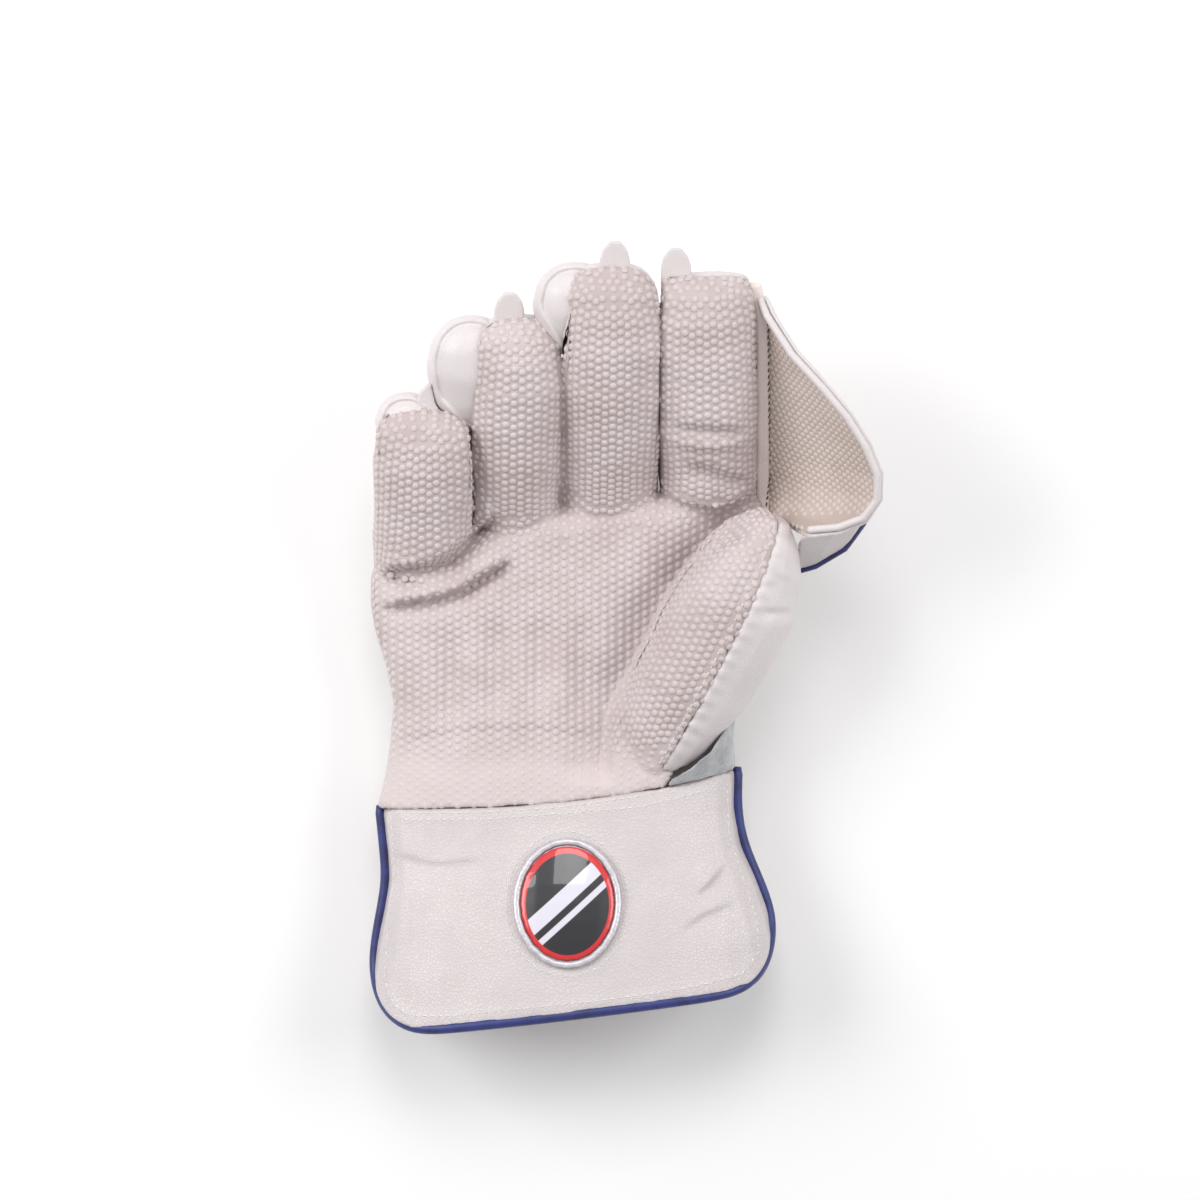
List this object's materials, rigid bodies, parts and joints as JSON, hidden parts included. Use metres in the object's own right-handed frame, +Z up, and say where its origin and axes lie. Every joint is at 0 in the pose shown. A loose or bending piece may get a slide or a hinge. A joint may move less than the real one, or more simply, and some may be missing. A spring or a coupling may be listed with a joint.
{
  "type": "wicketkeeping glove",
  "caption": "Right-hand leather and pimpled rubber catching glove with a web beside the thumb, lying on its back, palm up.",
  "frame": {"origin": "middle of the footprint, on the surface that the glove lies on", "axes": "+X across the hand to the thumb side, +Y from the cuff to the fingertips, +Z up out of the palm"},
  "size_m": [0.1898, 0.2894, 0.0879],
  "materials": {
    "palm_rubber": "matt pimpled rubber",
    "web_rubber": "matt pimpled rubber, slightly warmer",
    "white_leather": "smooth to finely grained white leather",
    "grey_suede": "napped grey suede",
    "navy_piping": "smooth navy leather piping",
    "badge_silver": "silver moulded rim",
    "badge_enamel": "domed clear resin over a printed plate"
  },
  "bodies": {
    "root": {"palm_rubber": "palm_rubber", "wrist_gusset": "grey_suede", "hand_back": "white_leather", "thumb_back": "white_leather", "little_hood": "white_leather", "little_back": "white_leather", "ring_hood": "white_leather", "ring_back": "white_leather", "middle_hood": "white_leather", "middle_back": "white_leather", "index_back": "white_leather", "index_strip": "white_leather", "web_rubber": "web_rubber", "web_back": "white_leather", "web_rim": "white_leather", "web_gusset": "white_leather", "web_piping": "navy_piping", "little_tab": "white_leather", "ring_tab": "white_leather", "middle_tab": "white_leather", "index_tab": "white_leather", "cuff_front": "white_leather", "cuff_back": "white_leather", "cuff_piping_front": "navy_piping", "cuff_piping_back": "navy_piping", "badge_rim": "badge_silver", "badge_face": "badge_enamel"}
  },
  "joints": []
}
